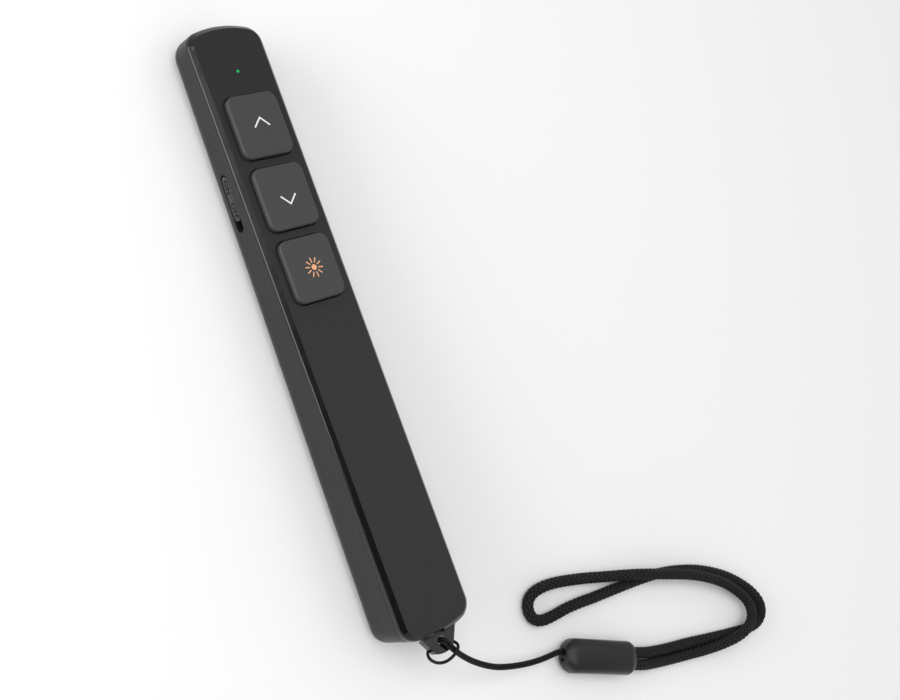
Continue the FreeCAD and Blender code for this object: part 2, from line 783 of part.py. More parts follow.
def make_switch(number, name):
    middle = DIMENSIONS["first_key"] - DIMENSIONS["key_pitch"] * number
    body = new_body("%s_switch" % name, face_frame(middle))
    base = new_sketch(body, "%s_base_plan" % name, offset=-dim("board_top"))
    rounded_rectangle(base, dim("switch_side"), dim("switch_side"), SWITCH_CORNER)
    pad(body, "%s_base" % name, base, dim("switch_high"))
    bore = new_sketch(body, "%s_bore_plan" % name, offset=-dim("board_top") + dim("switch_high"))
    circle(bore, 0, 0, dim("plunger_radius") + PLUNGER_GAP)
    pocket(body, "%s_bore" % name, bore, dim("switch_high") - SWITCH_FLOOR)

    plunger = document.addObject("Part::Cylinder", "%s_plunger" % name)
    plunger.Label = "%s_plunger" % name
    bind(plunger, "Radius", dim("plunger_radius"))
    bind(plunger, "Height", PLUNGER_LONG)
    foot = Vector(0, 0, -PLUNGER_TOP - PLUNGER_LONG)
    plunger.Placement = face_frame(middle) * Placement(foot, Rotation())
    sub_parts.append(plunger)


def block(label, frame, corner, size):
    """Box bound to the sheet, its low corner given in a frame."""
    box = document.addObject("Part::Box", label)
    box.Label = label
    for field, length in zip(("Length", "Width", "Height"), size):
        bind(box, field, length)
    low = Vector(*[as_size(place).value for place in corner])
    box.Placement = frame * Placement(low, Rotation())
    sub_parts.append(box)
    return box


def make_board():
    body = new_body("main_board", face_frame())
    plan = new_sketch(body, "board_plan", offset=-dim("board_top"))
    rounded_rectangle(plan, dim("board_wide"), dim("board_end") - dim("board_start"), BOARD_CORNER,
                      0, (dim("board_end") + dim("board_start")) / 2)
    pad(body, "board_sheet", plan, dim("board_thick"), down=True)

    top = -dim("board_top")
    block("rf_chip", face_frame(), CHIP_CORNER + (top,), CHIP_SIZE)
    block("crystal", face_frame(), CRYSTAL_CORNER + (top,), CRYSTAL_SIZE)
    block("status_led", face_frame(), (-LED_WIDE / 2, LIGHT_PLACE - LED_LONG / 2, top),
          (LED_WIDE, LED_LONG, LED_HIGH))


def make_light_pipe():
    body = new_body("light_pipe", face_frame(LIGHT_PLACE))
    section = new_sketch(body, "pipe_section", "XZ_Plane")
    collar_top = -dim("seam_drop_laser") - PIPE_COLLAR_DROP
    collar_foot = collar_top - PIPE_COLLAR_THICK
    foot = -dim("board_top") + LED_HIGH
    outline(section, [
        (0, foot), (PIPE_FOOT_RADIUS, foot), (PIPE_FOOT_RADIUS, collar_foot),
        (PIPE_COLLAR_RADIUS, collar_foot), (PIPE_COLLAR_RADIUS, collar_top),
        (LIGHT_RADIUS, collar_top), (LIGHT_RADIUS, 0.0), (0, 0.0)])
    feature = body.newObject("PartDesign::Revolution", "pipe_turned")
    feature.Profile = section
    feature.ReferenceAxis = (section, ["V_Axis"])
    feature.Angle = 360.0


def make_power_switch():
    rest = dim("slot_centre") + (dim("slot_long") - dim("slider_long")) / 2 - SLIDER_END_GAP
    level = dim("slot_level")
    outer = -dim("body_wide") / 2 + SLIDER_RECESS
    body = new_body("power_slider", floor_frame())
    cap = new_sketch(body, "slider_face", "YZ_Plane", offset=outer)
    slot(cap, rest, level, dim("slider_long"), dim("slider_high"))
    pad(body, "slider_cap", cap, SLIDER_THICK)
    flange_long, flange_high, flange_thick = SLIDER_FLANGE
    flange = new_sketch(body, "slider_flange_side", "YZ_Plane", offset=outer + SLIDER_THICK)
    rectangle(flange, rest, level - flange_high / 2, flange_long, flange_high)
    pad(body, "slider_flange", flange, flange_thick)
    bar_wide, bar_high, bar_rise = SLIDER_BAR
    for side_name, away in SLIDER_BARS:
        ridge = new_sketch(body, "slider_bar_%s" % side_name, "YZ_Plane", offset=outer)
        rectangle(ridge, rest + away, level - bar_high / 2, bar_wide, bar_high)
        pad(body, "slider_ridge_%s" % side_name, ridge, bar_rise, down=True)

    stem_reach, stem_long, stem_high = STEM
    block("switch_stem", floor_frame(),
          (STEM_START, rest - stem_long / 2, level - stem_high / 2), STEM)

    case_wide, case_long, case_high = SWITCH_CASE
    case = new_body("slide_switch", floor_frame())
    foot = new_sketch(case, "switch_case_plan", offset=SWITCH_CASE_FOOT)
    rectangle(foot, SWITCH_CASE_MIDDLE, SWITCH_CASE_START, case_wide, case_long)
    pad(case, "switch_case", foot, case_high)
    window = new_sketch(case, "switch_window_side", "YZ_Plane", offset=SWITCH_WINDOW_START)
    travel = dim("slider_travel")
    rectangle(window, rest - travel / 2, level - SWITCH_WINDOW_HIGH / 2,
              travel + SWITCH_WINDOW_SPARE, SWITCH_WINDOW_HIGH)
    pocket(case, "switch_window", window)


# Power, receiver and laser.

def make_cell():
    body = new_body("aaa_cell", floor_frame())
    can = new_sketch(body, "cell_can_face", "XZ_Plane", offset=-dim("cell_start"))
    circle(can, 0, dim("cell_axis"), dim("cell_radius"))
    pad(body, "cell_can", can, dim("cell_long") - CELL_NUB_LONG, down=True)
    nub_long = CELL_NUB_LONG + CELL_NUB_OVERLAP
    nub_start = dim("cell_start") + dim("cell_long") - nub_long
    nub = new_sketch(body, "cell_nub_face", "XZ_Plane", offset=-nub_start)
    circle(nub, 0, dim("cell_axis"), CELL_NUB_RADIUS)
    pad(body, "cell_nub", nub, nub_long, down=True)


def make_contact(label, plate_start, dimple_start, dimple_end):
    """Sheet-metal contact: a plate with a raised dimple that meets the cell."""
    body = new_body(label, floor_frame())
    plate = new_sketch(body, "%s_plate_face" % label, "XZ_Plane", offset=-as_size(plate_start))
    rounded_rectangle(plate, CONTACT_SIDE, CONTACT_SIDE, CONTACT_CORNER, 0, dim("cell_axis"))
    pad(body, "%s_plate" % label, plate, CONTACT_THICK, down=True)
    dimple = new_sketch(body, "%s_dimple_face" % label, "XZ_Plane", offset=-as_size(dimple_start))
    circle(dimple, 0, dim("cell_axis"), CONTACT_DIMPLE_RADIUS)
    pad(body, "%s_dimple" % label, dimple, as_size(dimple_end) - dimple_start, down=True)


def make_screw():
    body = new_body("housing_screw", floor_frame())
    shelf = dim("cover_high") + dim("cover_gap")
    head = new_sketch(body, "screw_head_plan", offset=shelf)
    circle(head, 0, SCREW_PLACE, SCREW_RADIUS * 2)
    pad(body, "screw_head", head, SCREW_HEAD_HIGH, down=True)
    shank = new_sketch(body, "screw_shank_plan", offset=shelf - OVERLAP)
    circle(shank, 0, SCREW_PLACE, SCREW_RADIUS)
    pad(body, "screw_shank", shank, SCREW_LONG)
    for name, wide, long in (("along", SCREW_RECESS_WIDE, SCREW_RECESS_LONG),
                             ("across", SCREW_RECESS_LONG, SCREW_RECESS_WIDE)):
        recess = new_sketch(body, "screw_recess_%s_plan" % name, offset=shelf - SCREW_HEAD_HIGH)
        rectangle(recess, 0, SCREW_PLACE - long / 2, wide, long)
        pocket(body, "screw_recess_%s" % name, recess, SCREW_RECESS_DEEP, reverse=True)


def make_receiver():
    start = dim("bay_start") + dim("receiver_gap")
    wide = dim("bay_wide") - dim("receiver_gap") * 2
    high = dim("bay_deep") - dim("receiver_gap") * 2
    low = dim("receiver_gap")
    body = new_body("receiver_cap", floor_frame())
    plan = new_sketch(body, "receiver_cap_plan", offset=low)
    rectangle(plan, 0, start, wide, dim("receiver_cap_long"))
    pad(body, "receiver_cap_block", plan, high)

    def corner_edges(edge):
        box = edge.BoundBox
        return box.YLength > 6.0 and box.XLength < 1e-4
    round_edges(body, "receiver_cap_rounding", RECEIVER_ROUNDING, corner_edges)

    plug_start = start + dim("receiver_cap_long")
    plug_long = dim("bay_start") + dim("bay_long") - dim("receiver_gap") - plug_start
    level = low + high / 2
    shell = new_body("receiver_plug_shell", floor_frame())
    outside = new_sketch(shell, "plug_outside", "XZ_Plane", offset=-plug_start)
    rounded_rectangle(outside, dim("plug_wide"), dim("plug_high"), PLUG_CORNER, 0, level)
    pad(shell, "plug_tube", outside, plug_long, down=True)
    inside = new_sketch(shell, "plug_inside", "XZ_Plane", offset=-plug_start)
    rounded_rectangle(inside, dim("plug_wide") - PLUG_SHEET * 2, dim("plug_high") - PLUG_SHEET * 2,
                      PLUG_INNER_CORNER, 0, level)
    pocket(shell, "plug_bore", inside)
    block("receiver_tongue", floor_frame(),
          (-PLUG_TONGUE_WIDE / 2, plug_start, level + PLUG_TONGUE_RISE),
          (PLUG_TONGUE_WIDE, plug_long - PLUG_TONGUE_INSET, PLUG_TONGUE_THICK))


def make_laser():
    start, end = BARREL_START, BARREL_END
    body = new_body("laser_barrel", floor_frame())
    face = new_sketch(body, "barrel_face", "XZ_Plane", offset=-start)
    circle(face, 0, dim("laser_level"), dim("laser_radius"))
    circle(face, 0, dim("laser_level"), LENS_RADIUS)
    pad(body, "barrel_tube", face, end - start, down=True)
    for label, place, long in (("laser_diode", start, DIODE_LONG),
                               ("laser_lens", end - LENS_INSET, LENS_THICK)):
        disc = document.addObject("Part::Cylinder", label)
        disc.Label = label
        bind(disc, "Radius", LENS_RADIUS)
        bind(disc, "Height", long)
        along = Placement(Vector(0, place, DIMENSIONS["laser_level"]), Rotation(Vector(1, 0, 0), -90))
        disc.Placement = floor_frame() * along
        sub_parts.append(disc)


# Wrist strap.

def smooth_route(points, name):
    """Straight runs joined by tangent arcs. Prints the least radius and the length."""
    edges = []
    radii = []
    last = points[0]
    for index in range(1, len(points) - 1):
        here = points[index]
        back = points[index - 1] - here
        ahead = points[index + 1] - here
        turn = math.pi - back.getAngle(ahead)
        radius = 0.45 * min(back.Length, ahead.Length) / math.tan(turn / 2)
        trim = radius * math.tan(turn / 2)
        back.normalize()
        ahead.normalize()
        begin = here + back * trim
        finish = here + ahead * trim
        inward = (back + ahead).normalize()
        crest = here + inward * (radius / math.cos(turn / 2) - radius)
        edges.append(Part.LineSegment(last, begin).toShape())
        edges.append(Part.Arc(begin, crest, finish).toShape())
        radii.append(radius)
        last = finish
    edges.append(Part.LineSegment(last, points[-1]).toShape())
    route = Part.Wire(edges)
    print("%s: length %.1f, least radius %.2f, radii %s"
          % (name, route.Length, min(radii), " ".join("%.1f" % radius for radius in radii)))
    return route


def make_tube(label, points, radius):
    """Tube along a route, as its own object with its placement after its shape."""
    route = smooth_route(points, label)
    first = points[1] - points[0]
    ring = Part.Wire([Part.Circle(points[0], first, radius).toShape()])
    tube = route.makePipeShell([ring], True, False)
    expected = math.pi * radius ** 2 * route.Length
    print("%s: volume %.2f, section times length %.2f" % (label, tube.Volume, expected))
    thing = document.addObject("Part::Feature", label)
    thing.Label = label
    thing.Shape = tube
    thing.Placement = Placement()
    sub_parts.append(thing)


# The doubled cord's middle line from the bead to the tongue's hole.
PAIR_ROUTE = [
    (40.64, -91.88, 3.2), (39.3, -91.25, 3.2), (36.7, -91.0, 3.45), (32.2, -90.4, 4.1),
    (27.0, -89.2, 5.0), (21.7, -87.5, 6.1), (16.6, -85.5, 7.5), (12.0, -82.9, 9.2),
    (8.0, -80.2, 11.0), (4.9, -77.8, 12.8), (2.6, -75.7, 14.2), (1.0, -73.6, 14.75),
    (0.0, -71.8, 14.75)]

# The hitch under the tongue and round its tip, from one strand's hole to the other's.
HITCH_ROUTE = [
    (-2.2, -72.9, 10.95), (-3.65, -73.9, 11.9), (-4.0, -75.0, 13.2), (-2.9, -76.1, 14.1),
    (-1.2, -76.4, 14.8), (0.6, -75.9, 15.3), (2.2, -75.2, 15.3), (3.6, -74.5, 14.3),
    (4.1, -73.9, 12.7), (3.2, -73.0, 11.2), (1.7, -72.2, 10.85)]

# The braided loop, from the bead's lower exit round and back to its upper exit.
LOOP_ROUTE = [
    (61.26, -104.38, 3.2), (64.9, -106.1, 2.8), (70.0, -107.8, 1.8), (76.0, -109.5, 1.4),
    (82.6, -111.0, 1.5), (88.9, -112.3, 2.1), (94.8, -113.0, 3.3), (100.2, -113.1, 4.35),
    (105.0, -112.7, 4.4), (108.7, -111.6, 3.7), (110.7, -109.3, 3.1), (110.6, -106.2, 2.8),
    (108.0, -102.6, 3.0), (103.4, -98.3, 3.6), (97.3, -94.3, 4.1), (91.2, -91.1, 4.25),
    (85.0, -88.6, 4.3), (78.9, -86.2, 4.3), (73.2, -84.0, 4.0), (67.9, -82.2, 3.1),
    (62.8, -80.6, 2.0), (57.5, -78.8, 1.45), (52.0, -77.2, 1.4), (47.0, -75.9, 1.4),
    (42.7, -75.3, 1.4), (38.7, -75.5, 1.4), (36.5, -76.9, 1.4), (35.7, -79.2, 1.4),
    (36.4, -81.5, 1.4), (38.7, -82.9, 1.4), (42.8, -83.2, 1.4), (47.5, -83.1, 1.4),
    (52.5, -83.5, 1.4), (57.6, -84.2, 1.4), (63.0, -84.7, 1.4), (68.9, -85.3, 1.4),
    (75.0, -86.0, 1.4), (81.6, -87.0, 1.4), (88.1, -88.6, 1.4), (94.6, -90.8, 1.4),
    (100.8, -93.7, 1.4), (106.8, -97.4, 1.4), (111.8, -101.7, 1.4), (115.3, -105.7, 1.4),
    (116.9, -109.3, 1.4), (116.2, -112.2, 1.4), (113.4, -114.0, 1.4), (109.3, -114.1, 1.4),
    (104.2, -112.9, 1.4), (97.9, -111.2, 1.4), (91.1, -109.4, 1.4), (84.4, -107.6, 1.4),
    (77.7, -106.2, 1.4), (71.6, -104.6, 1.7), (66.4, -102.9, 2.7), (62.74, -101.22, 3.2)]


def strand_route(side):
    """One strand of the doubled cord, set off sideways from the middle line."""
    middle = [Vector(*place) for place in PAIR_ROUTE]
    strand = []
    for index, place in enumerate(middle):
        before = middle[max(index - 1, 0)]
        after = middle[min(index + 1, len(middle) - 1)]
        run = after - before
        across = Vector(-run.y, run.x, 0).normalize()
        strand.append(place + across * (side * STRAND_APART / 2))
    return strand


def make_strap():
    out = strand_route(-1)
    back = strand_route(1)
    foot_out = Vector(out[-1].x, out[-1].y, HOLE_FOOT)
    foot_back = Vector(back[-1].x, back[-1].y, HOLE_FOOT)
    if out[-1].x < back[-1].x:
        hitch = [Vector(*place) for place in HITCH_ROUTE]
    else:
        hitch = [Vector(*place) for place in reversed(HITCH_ROUTE)]
    route = out + [foot_out] + hitch + [foot_back] + list(reversed(back))
    make_tube("hitch_cord", route, DIMENSIONS["cord_radius"])
    make_tube("wrist_loop", [Vector(*place) for place in LOOP_ROUTE], DIMENSIONS["loop_radius"])

    turn = Rotation(Vector(0, 0, 1), math.degrees(math.atan2(*BEAD_DIRECTION)))
    body = new_body("cord_bead", Placement(Vector(*BEAD_START), turn))
    section = new_sketch(body, "bead_section", "YZ_Plane")
    rounded_rectangle(section, dim("bead_wide"), dim("bead_high"), BEAD_CORNER)
    pad(body, "bead_bar", section, dim("bead_long"))

    def end_edges(edge):
        box = edge.BoundBox
        return box.XLength < 1e-4
    bevel_edges(body, "bead_ends", BEAD_BEVEL, end_edges)
    hole = new_sketch(body, "bead_hole_face", "YZ_Plane")
    circle(hole, BEAD_HOLE_PLACE[0], BEAD_HOLE_PLACE[1], BEAD_HOLE_RADIUS)
    pocket(body, "bead_hole", hole, BEAD_HOLE_DEEP, reverse=True)


def check_and_write():
    """Stop on any failed object, then write one file for each sub-part."""
    document.recompute()
    for thing in document.Objects:
        if "Invalid" in thing.State or "Error" in thing.State:
            raise RuntimeError("%s is not valid: %s" % (thing.Label, thing.State))
    os.makedirs("parts", exist_ok=True)
    for thing in sub_parts:
        shape = thing.Shape
        if shape.isNull() or not shape.isValid():
            raise RuntimeError("%s has no valid shape" % thing.Label)
        print("%-22s solids %d volume %9.2f" % (thing.Label, len(shape.Solids), shape.Volume))
        shape.exportStep("parts/%s.step" % thing.Label)


def main():
    fill_sheet()
    make_top_housing()
    make_bottom_housing()
    make_battery_cover()
    for number, name in enumerate(KEY_NAMES):
        make_key(number, name)
        make_switch(number, name)
    make_board()
    make_light_pipe()
    make_power_switch()
    make_cell()
    make_contact("negative_contact", dim("cover_start") - dim("cover_gap"),
                 dim("cover_start") - dim("cover_gap") + CONTACT_GAP, dim("cell_start"))
    make_contact("positive_contact", as_size(SHELF_START) - CONTACT_THICK,
                 dim("cell_start") + dim("cell_long"), as_size(SHELF_START) - CONTACT_GAP)
    make_screw()
    make_receiver()
    make_laser()
    make_strap()
    check_and_write()


main()
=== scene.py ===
"""Dresses a wireless presentation clicker: its housings, keys, slide switch, lanyard, floor and light.

Every length is in metres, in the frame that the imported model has.
"""

import math

import bmesh
import bpy
import numpy as np
from mathutils import Matrix, Vector


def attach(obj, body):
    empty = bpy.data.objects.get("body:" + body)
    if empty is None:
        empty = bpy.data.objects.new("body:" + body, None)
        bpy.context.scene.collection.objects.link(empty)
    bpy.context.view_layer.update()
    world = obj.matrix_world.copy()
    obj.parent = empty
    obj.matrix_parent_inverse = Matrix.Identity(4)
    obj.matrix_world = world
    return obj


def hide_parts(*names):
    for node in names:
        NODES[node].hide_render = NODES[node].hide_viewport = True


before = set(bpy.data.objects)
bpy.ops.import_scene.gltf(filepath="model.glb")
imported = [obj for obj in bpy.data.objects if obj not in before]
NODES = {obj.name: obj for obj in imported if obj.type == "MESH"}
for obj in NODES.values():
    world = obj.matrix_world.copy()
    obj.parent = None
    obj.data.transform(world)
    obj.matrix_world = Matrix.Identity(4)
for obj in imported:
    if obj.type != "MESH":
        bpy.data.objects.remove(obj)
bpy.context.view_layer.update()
MM = 0.001

# The camera's place and axes, from the photograph's own perspective.
CAMERA_PLACE = Vector((-0.16637, -0.006303, 0.258019))
CAMERA_RIGHT = Vector((0.7359787, -0.3220115, 0.5955199))
CAMERA_UP = Vector((0.260876, 0.9466017, 0.1894436))
SENSOR = 36.0
FOCAL_SHARE = 1322.16 / 900

# The face's own frame, on a casing that grows thinner from the strap end to the laser end, in mm.
THICK_STRAP = 15.6
THICK_LASER = 9.9
FACE_LONG = 145
FACE_START = -70.15
TILT = math.atan((THICK_STRAP - THICK_LASER) / FACE_LONG)
FACE_ORIGIN = Vector((0, FACE_START, THICK_STRAP * math.cos(TILT))) * MM
FACE = Matrix.Translation(FACE_ORIGIN) @ Matrix.Rotation(-TILT, 4, "X")
FACE_OUT = (0, math.sin(TILT), math.cos(TILT))


def on_face(u, v, w=0.0):
    """A point given in mm across, along and out of the face, in the shared frame."""
    return FACE @ Vector((u * MM, v * MM, w * MM))


def link(name, data):
    """An object with this data, put in the scene."""
    thing = bpy.data.objects.new(name, data)
    bpy.context.scene.collection.objects.link(thing)
    return thing


def mesh_from(maker, name):
    """A named mesh from what was modelled, with its faces turned outwards."""
    bmesh.ops.recalc_face_normals(maker, faces=maker.faces)
    mesh = bpy.data.meshes.new(name)
    maker.to_mesh(mesh)
    maker.free()
    return mesh


# Sizes of the plastics' surface noise: cells to the metre, and the grain's depth in metres.
COLOUR_DRIFT = 60.0
ROUGH_DRIFT = 220.0
RIM_DRIFT = 260.0
COARSE_GRAIN = 900.0
FINE_GRAIN = 2600.0
BEAD_GRAIN = 1500.0
BRUSH_MARKS = 1800.0
SHEET_DRIFT = 500.0
FIBRES = 6000.0
COARSE_DEPTH = 0.00002
FINE_DEPTH = 0.00001
FIBRE_DEPTH = 0.00003

# How shiny each finish is, on the shader's own scale.
PLAIN_SHINE = 0.5
FACE_SHINE = 0.42
WALL_SHINE = 0.32
KEY_SHINE = 0.35
BEAD_SHINE = 0.36
CORD_SHINE = 0.22
WORD_SHINE = 0.05

# The tongue's near end and the light pipe, in mm. The pipe's green spot fades between two radii.
TONGUE_FADE = (-70.5, -70.1)
LIGHT_PLACE = 133.65
GREEN_FADE = (0.42, 0.24)
GREEN_GLOW = (0.0, 0.5, 0.09)
GREEN_STRENGTH = 0.6

# A strand's height below which the braid's painted shade is at its darkest.
BRAID_SHADE = 0.55


def new_material(name):
    """A material with its node tree and its main shader."""
    material = bpy.data.materials.new(name)
    material.use_nodes = True
    shader = material.node_tree.nodes["Principled BSDF"]
    return material, material.node_tree, shader


def noise(tree, scale, detail=4.0):
    """Soft noise in the object's own space."""
    place = tree.nodes.new("ShaderNodeTexCoord")
    texture = tree.nodes.new("ShaderNodeTexNoise")
    texture.inputs["Scale"].default_value = scale
    texture.inputs["Detail"].default_value = detail
    texture.inputs["Roughness"].default_value = 0.55
    tree.links.new(place.outputs["Object"], texture.inputs["Vector"])
    return texture.outputs["Fac"]


def spread_of(tree, value, start, end, low=0.0, high=1.0):
    """A value carried from the range start to end into the range low to high."""
    spread = tree.nodes.new("ShaderNodeMapRange")
    spread.inputs["From Min"].default_value = start
    spread.inputs["From Max"].default_value = end
    spread.inputs["To Min"].default_value = low
    spread.inputs["To Max"].default_value = high
    tree.links.new(value, spread.inputs["Value"])
    return spread.outputs["Result"]


def ramp(tree, value, low, high):
    """Noise, which stays near its middle, spread between low and high."""
    return spread_of(tree, value, 0.3, 0.7, low, high)


def put(tree, value, socket):
    """Feeds a socket from a number, a colour or another node's output."""
    if isinstance(value, float):
        socket.default_value = value
    elif isinstance(value, tuple):
        socket.default_value = (*value, 1)
    else:
        tree.links.new(value, socket)


def bump(tree, shader, value, strength, distance):
    """Raises the surface by a value, as the light sees it."""
    node = tree.nodes.new("ShaderNodeBump")
    put(tree, strength, node.inputs["Strength"])
    node.inputs["Distance"].default_value = distance
    tree.links.new(value, node.inputs["Height"])
    tree.links.new(node.outputs["Normal"], shader.inputs["Normal"])


def blend(tree, share, first, second, kind="RGBA"):
    """The first value where the share is 0, the second where it is 1."""
    mix = tree.nodes.new("ShaderNodeMix")
    mix.data_type = kind
    tree.links.new(share, mix.inputs["Factor"])
    put(tree, first, mix.inputs["A"])
    put(tree, second, mix.inputs["B"])
    return mix.outputs["Result"]


def moulded(name, dark, light, rough_low, rough_high, grain=COARSE_GRAIN, strength=0.12,
            depth=COARSE_DEPTH, shine=PLAIN_SHINE):
    """Moulded plastic: faint colour drift, roughness that varies, and a fine grain."""
    material, tree, shader = new_material(name)
    shader.inputs["Specular IOR Level"].default_value = shine
    drift = noise(tree, COLOUR_DRIFT, 3.0)
    tree.links.new(blend(tree, drift, dark, light), shader.inputs["Base Color"])
    rough = ramp(tree, noise(tree, ROUGH_DRIFT, 5.0), rough_low, rough_high)
    tree.links.new(rough, shader.inputs["Roughness"])
    bump(tree, shader, noise(tree, grain, 2.0), strength, depth)
    return material


def grey(level):
    """A neutral colour of this brightness."""
    return (level, level, level)


def metal(name, colour, rough_low, rough_high):
    """Drawn sheet metal: roughness that varies and faint brush marks."""
    material, tree, shader = new_material(name)
    shader.inputs["Base Color"].default_value = (*colour, 1)
    shader.inputs["Metallic"].default_value = 1.0
    rough = ramp(tree, noise(tree, SHEET_DRIFT), rough_low, rough_high)
    tree.links.new(rough, shader.inputs["Roughness"])
    bump(tree, shader, noise(tree, BRUSH_MARKS, 2.0), 0.1, FINE_DEPTH)
    return material


def faces_along(tree, direction, start, end):
    """1 where the surface faces a fixed direction of the model, 0 elsewhere."""
    place = tree.nodes.new("ShaderNodeTexCoord")
    product = tree.nodes.new("ShaderNodeVectorMath")
    product.operation = "DOT_PRODUCT"
    product.inputs[1].default_value = direction
    tree.links.new(place.outputs["Normal"], product.inputs[0])
    return spread_of(tree, product.outputs["Value"], start, end)


def node_point(node_name, shared_point):
    """A point of the shared frame in a node's own space, as its materials see it."""
    return NODES[node_name].matrix_world.inverted() @ Vector(shared_point)


def beyond_tongue(tree):
    """1 on the casing, 0 on the strap tongue."""
    place = tree.nodes.new("ShaderNodeTexCoord")
    split = tree.nodes.new("ShaderNodeSeparateXYZ")
    tree.links.new(place.outputs["Object"], split.inputs["Vector"])
    start, end = (node_point("top_housing", (0, y * MM, 0)).y for y in TONGUE_FADE)
    return spread_of(tree, split.outputs["Y"], start, end)


def product_of(tree, first, second):
    """Two values multiplied."""
    multiply = tree.nodes.new("ShaderNodeMath")
    multiply.operation = "MULTIPLY"
    tree.links.new(first, multiply.inputs[0])
    tree.links.new(second, multiply.inputs[1])
    return multiply.outputs["Value"]


def lit_pipe():
    """The light pipe: a green spot in its middle, the casing's black round it."""
    material, tree, shader = new_material("green_pipe_lit")
    place = tree.nodes.new("ShaderNodeTexCoord")
    away = tree.nodes.new("ShaderNodeVectorMath")
    away.operation = "DISTANCE"
    away.inputs[1].default_value = node_point("light_pipe", on_face(0, LIGHT_PLACE, 0))
    tree.links.new(place.outputs["Object"], away.inputs[0])
    spot = spread_of(tree, away.outputs["Value"], GREEN_FADE[0] * MM, GREEN_FADE[1] * MM)
    grain = blend(tree, noise(tree, COARSE_GRAIN), (0.0, 0.2, 0.04), (0.0, 0.26, 0.06))
    tree.links.new(blend(tree, spot, grey(0.010), grain), shader.inputs["Base Color"])
    tree.links.new(blend(tree, spot, grey(0.0), GREEN_GLOW), shader.inputs["Emission Color"])
    shader.inputs["Emission Strength"].default_value = GREEN_STRENGTH
    tree.links.new(ramp(tree, noise(tree, ROUGH_DRIFT), 0.36, 0.44), shader.inputs["Roughness"])
    bump(tree, shader, noise(tree, FINE_GRAIN, 2.0), 0.2, FINE_DEPTH)
    return material


def upper_casing():
    """Satin on the flat face, gloss on the bevel, its rounded rim and the strap tongue."""
    material, tree, shader = new_material("satin_black_upper")
    shader.inputs["Specular IOR Level"].default_value = FACE_SHINE
    level = faces_along(tree, FACE_OUT, 0.965, 0.985)
    on_flat = product_of(tree, level, beyond_tongue(tree))
    drift = blend(tree, noise(tree, COLOUR_DRIFT, 3.0), grey(0.009), grey(0.011))
    tree.links.new(blend(tree, on_flat, grey(0.005), drift), shader.inputs["Base Color"])
    face_rough = ramp(tree, noise(tree, ROUGH_DRIFT, 5.0), 0.40, 0.47)
    rim_rough = ramp(tree, noise(tree, RIM_DRIFT, 4.0), 0.15, 0.2)
    tree.links.new(blend(tree, on_flat, rim_rough, face_rough, "FLOAT"), shader.inputs["Roughness"])
    strength = blend(tree, on_flat, 0.03, 0.22, "FLOAT")
    bump(tree, shader, noise(tree, FINE_GRAIN, 2.0), strength, FINE_DEPTH)
    return material


def braided(name, dark, light):
    """Cord whose strands are painted lighter on top, as highlight, and painted dark in the gaps between
    them, as shade.
    """
    material, tree, shader = new_material(name)
    shader.inputs["Specular IOR Level"].default_value = CORD_SHINE
    lie = tree.nodes.new("ShaderNodeAttribute")
    lie.attribute_name = "braid"
    # Painted shade and highlight: the base colour runs from dark in the gaps to light on the strands'
    # crowns.
    shade = spread_of(tree, lie.outputs["Fac"], BRAID_SHADE, 1.0)
    tree.links.new(blend(tree, shade, dark, light), shader.inputs["Base Color"])
    tree.links.new(ramp(tree, noise(tree, COARSE_GRAIN), 0.55, 0.75), shader.inputs["Roughness"])
    bump(tree, shader, noise(tree, FIBRES, 3.0), 0.35, FIBRE_DEPTH)
    return material


upper = upper_casing()
satin = moulded(
    "satin_black", grey(0.009), grey(0.012), 0.34, 0.42, FINE_GRAIN, 0.16, FINE_DEPTH, WALL_SHINE)
rubber = moulded(
    "key_rubber", grey(0.046), grey(0.051), 0.46, 0.55, FINE_GRAIN, 0.2, FINE_DEPTH, KEY_SHINE)
dark = moulded("dark_plastic", grey(0.016), grey(0.022), 0.3, 0.42)
slider_grey = moulded("slider_plastic", grey(0.03), grey(0.036), 0.4, 0.5, shine=KEY_SHINE)
board = moulded("board", (0.01, 0.11, 0.04), (0.015, 0.15, 0.06), 0.2, 0.35)
steel = metal("steel", grey(0.6), 0.22, 0.36)
brass = metal("brass", (0.7, 0.5, 0.22), 0.2, 0.34)
lens = moulded("lens", (0.2, 0.01, 0.01), (0.3, 0.015, 0.012), 0.05, 0.1)
green = lit_pipe()
wrap = moulded("cell_wrap", grey(0.1), grey(0.5), 0.25, 0.35)
cord_black = braided("cord", grey(0.0006), grey(0.023))
bead_grey = moulded(
    "bead_plastic", grey(0.010), grey(0.013), 0.3, 0.4, BEAD_GRAIN, 0.12, FINE_DEPTH, BEAD_SHINE)
print_white = moulded("print_white", grey(0.78), grey(0.86), 0.4, 0.5)
print_orange = moulded("print_orange", (0.80, 0.36, 0.16), (0.88, 0.45, 0.24), 0.4, 0.5)
print_dark = moulded("print_dark", grey(0.002), grey(0.003), 0.6, 0.7, shine=WORD_SHINE)

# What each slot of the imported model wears. Two nodes have finishes of their own.
FINISHES = {
    "satin_black": satin, "key_rubber": rubber, "dark_plastic": dark, "board": board,
    "steel": steel, "brass": brass, "lens": lens, "green_pipe": green, "cell_wrap": wrap,
    "cord": cord_black, "bead_plastic": bead_grey}
OWN_FINISHES = {"top_housing": upper, "power_slider": slider_grey}
for node_name, node in NODES.items():
    for place in node.material_slots:
        slot_name = place.material.name.split(".")[0] if place.material else ""
        place.material = OWN_FINISHES.get(node_name, FINISHES.get(slot_name, satin))


